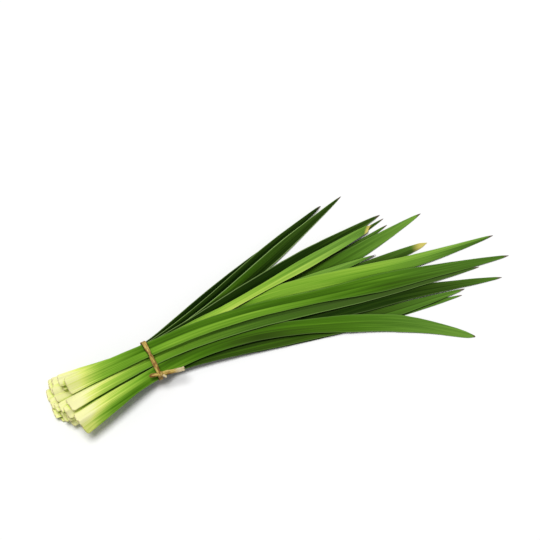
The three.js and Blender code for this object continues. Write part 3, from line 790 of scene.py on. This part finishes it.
class Outline:
    """The outside of the CAD model's ring, seen along the bunch."""

    def __init__(self):
        corners = np.array([v.co[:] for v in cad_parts["tie"].data.vertices])
        local = (corners - TIE_PLACE) @ TIE_AXES.T
        on_side = np.abs(np.abs(local[:, 0]) - TIE_WIDTH / 2) < ON_SIDE
        angles = np.arange(OUTLINE_SIDES) * 2 * math.pi / OUTLINE_SIDES
        self.normals = np.stack([np.cos(angles), np.sin(angles)], axis=1)
        self.reaches = (local[on_side, 1:] @ self.normals.T).max(axis=0)
        # The middle is that of the corners where each side meets the next.
        near, far = self.normals, np.roll(self.normals, -1, axis=0)
        a, b = self.reaches, np.roll(self.reaches, -1)
        cross = near[:, 0] * far[:, 1] - near[:, 1] * far[:, 0]
        corner_y = (a * far[:, 1] - b * near[:, 1]) / cross
        corner_z = (near[:, 0] * b - far[:, 0] * a) / cross
        self.middle = np.array([corner_y.mean(), corner_z.mean()])

    def at(self, angles, outside):
        """Points across and up, in these directions from the middle and so far outside the ring."""
        ways = np.stack([np.cos(angles), np.sin(angles)], axis=1)
        facing = ways @ self.normals.T
        to_side = (self.reaches - self.normals @ self.middle) / np.maximum(facing, GRAZING)
        distance = np.where(facing > GRAZING, to_side, np.inf).min(axis=1)
        return self.middle + ways * (distance[:, None] + outside)


def ribbon_axes(path, facing, closed):
    """Unit vectors across a strip and out of its flat side, at every point of its path."""
    tangent = np.gradient(path, axis=0)
    if closed:
        tangent = (np.roll(path, -1, axis=0) - np.roll(path, 1, axis=0)) / 2
    tangent /= np.linalg.norm(tangent, axis=1, keepdims=True)
    side = np.cross(tangent, facing)
    side /= np.linalg.norm(side, axis=1, keepdims=True)
    return side, np.cross(side, tangent)


def ribbon_sections(lengths, random):
    """A strip's ridged section at every length: how far across and out, from about -1 to 1."""
    round_it = np.arange(RIBBON_SIDES) * 2 * math.pi / RIBBON_SIDES
    turn = round_it[None, :] + RIDGE_TURN * wave(lengths, RIDGE_TURN_WAVE, random)[:, None]
    uneven = RIDGE_NOISE * random.standard_normal((len(lengths), RIBBON_SIDES))
    ridges = 1 + RIDGE_HEIGHT * np.sin(FIBRES * turn) + uneven
    widths = 1 + STRAND_WAVER * wave(lengths, STRAND_WAVER_WAVE, random)
    across = np.cos(round_it)[None, :] * ridges * widths[:, None]
    out = np.sign(np.sin(round_it)) * np.abs(np.sin(round_it)) ** BOXINESS
    curl = CURL * wave(lengths, CURL_WAVE, random)[:, None] * across ** 2
    return across, out[None, :] * ridges + curl


def ribbon_faces(count, closed):
    """The faces of a strip with so many rings of vertices, which is closed or has flat ends."""
    rings = np.arange(count * RIBBON_SIDES).reshape(count, RIBBON_SIDES)
    near = rings if closed else rings[:-1]
    far = np.roll(rings, -1, axis=0) if closed else rings[1:]
    quads = np.stack([near, np.roll(near, -1, axis=1), np.roll(far, -1, axis=1), far], axis=2)
    faces = quads.reshape(-1, 4).tolist()
    if not closed:
        faces += [rings[0, ::-1].tolist(), rings[-1].tolist()]
    return faces


def ribbon(path, facing, width, thickness, random, closed=False, torn=False):
    """A dried strip along a path, which may end torn: points, faces and what its material reads."""
    side, out = ribbon_axes(path, facing, closed)
    lengths = lengths_along(path)
    across, lift = ribbon_sections(lengths, random)
    points = (path[:, None] + side[:, None] * across[:, :, None] * (width / 2)
              + out[:, None] * lift[:, :, None] * (thickness / 2))
    everywhere = np.ones_like(across)
    place = np.stack([across * (width / 2), lengths[:, None] * everywhere,
                      random.random() * everywhere], axis=2)
    to_end = lengths[-1] - lengths if torn else np.full(len(path), FAR_FROM_END)
    hump = lift - lift.min()
    return {
        "points": points.reshape(-1, 3),
        "faces": ribbon_faces(len(path), closed),
        "place": place.reshape(-1, 3),
        "from_end": np.repeat(to_end, RIBBON_SIDES),
        "hump": (hump / hump.max()).ravel(),
    }


def through(points):
    """Close points along a smooth curve through a few, which are in millimetres."""
    points = np.asarray(points, float) * MM
    lengths = lengths_along(points)
    wanted = np.linspace(0.0, lengths[-1], int(lengths[-1] / STRAND_STEP))
    return spline(lengths, points, wanted)


def band_strand(outline, sign, random):
    """One of the two turns of the strip round the bunch. They cross on its upper side."""
    angles = KNOT_ANGLE - np.linspace(0.0, 2 * math.pi, BAND_POINTS)
    crossing = math.pi * smooth(angles, *CROSSING)
    pinch = BAND_PINCH * np.exp(-((angles - KNOT_ANGLE) / BAND_PINCH_REACH) ** 2)
    aside = sign * BAND_SPREAD * np.cos(crossing) * (1 - pinch)
    lifted = CROSSING_LIFT * (1 + sign * np.sin(crossing)) * smooth(np.sin(angles), *CROSSING_SIDE)
    section = outline.at(angles, lifted[:, None] - TIE_THICKNESS / 2)
    path = on_tie(np.concatenate([aside[:, None], section], axis=1))
    ways = np.stack([np.zeros_like(angles), np.cos(angles), np.sin(angles)], axis=1) @ TIE_AXES
    return ribbon(path, ways, STRAND_WIDTH, STRAND_THICKNESS, random)


def knot_strips(outline, random):
    """The knot's two wraps and the strip's loose ends."""
    knot = np.array([KNOT_SHIFT, *outline.at(np.array([KNOT_ANGLE]), KNOT_HEIGHT)[0]])
    along = np.array([1.0, 0.0, 0.0])
    away = np.array([0.0, math.cos(KNOT_ANGLE), math.sin(KNOT_ANGLE)])
    up = np.array([0.0, math.sin(KNOT_ANGLE), -math.cos(KNOT_ANGLE)])
    strips = []

    turn = np.linspace(0.0, 2 * math.pi, WRAP_POINTS, endpoint=False)[:, None]
    for lean, radius, width in KNOT_WRAPS:
        leaning = math.cos(math.radians(lean)) * along + math.sin(math.radians(lean)) * up
        ring = np.cos(turn) * leaning * WRAP_STRETCH + np.sin(turn) * away
        strips.append(ribbon(on_tie(knot + ring * radius * MM), ring @ TIE_AXES,
                             width * MM, WRAP_THICKNESS, random, closed=True))

    flat = (END_FACING[0] * away + END_FACING[1] * up) @ TIE_AXES
    for points, width, thickness, torn in LOOSE_ENDS:
        path = on_tie(through(points) + knot)
        strips.append(ribbon(path, np.tile(flat, (len(path), 1)),
                             width * MM, thickness * MM, random, torn=torn))
    return strips


def tie_material():
    """Dried leaf: long pale fibres over tan, painted brown shade in hollows, bleached at torn ends.
    """
    shader = Shader("dried_strip")
    place = shader.attribute("place", "Vector")
    hump = shader.attribute("hump")
    from_end = shader.attribute("from_end")
    fibres = shader.noise(shader.stretched(place, FIBRE_LINES), detail=2.0, seed=1.0)
    blotches = shader.noise(shader.stretched(place, BLOTCHES), detail=2.0, seed=2.0)
    colour = shader.mix(shader.step(fibres, *STRAW_FIBRES), TAN, STRAW)
    colour = shader.mix(shader.step(blotches, *UMBER_BLOTCHES), colour, UMBER)
    # painted shade: umber where the strip's section is low, in its hollows and towards its edges
    colour = shader.mix(shader.step(hump, *UMBER_HOLLOW_SHADE), colour, UMBER)
    colour = shader.mix(shader.step(from_end, *BLEACHED_REACH), colour, BLEACHED)
    relief = shader.bump(fibres, FIBRE_RELIEF, FIBRE_STRENGTH)
    shader.feed(shader.surface.inputs["Base Color"], colour)
    shader.feed(shader.surface.inputs["Normal"], relief)
    shader.surface.inputs["Roughness"].default_value = TIE_ROUGHNESS
    shader.surface.inputs["Specular IOR Level"].default_value = TIE_GLOSS
    return shader.material


def joined_mesh(name, strips):
    """All the strips' points and faces as one mesh, with what its material reads."""
    points = np.concatenate([strip["points"] for strip in strips])
    faces = []
    first = 0
    for strip in strips:
        faces += [[first + corner for corner in face] for face in strip["faces"]]
        first += len(strip["points"])
    mesh = bpy.data.meshes.new(name)
    mesh.from_pydata(points.tolist(), [], faces)
    mesh.shade_smooth()
    write_attributes(mesh, {key: np.concatenate([strip[key] for strip in strips])
                            for key in ("place", "from_end", "hump")})
    return mesh


def add_tie():
    """The wound and knotted strip in the place of the CAD model's ring, knot and loose ends."""
    random = np.random.default_rng(TIE_SEED)
    outline = Outline()
    strips = [band_strand(outline, sign, random) for sign in (1, -1)]
    strips += knot_strips(outline, random)
    tie = link(bpy.data.objects.new("tie_strip", joined_mesh("tie_strip", strips)))
    tie.data.materials.append(tie_material())
    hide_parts("tie")
    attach(tie, "root")


# ------------------------------------------------------------------ the scene

add_camera()
add_key_lamp()
add_world()
add_table()
add_leaves()
add_tie()

scene = bpy.context.scene
scene.view_settings.view_transform = "Standard"

bpy.context.view_layer.update()
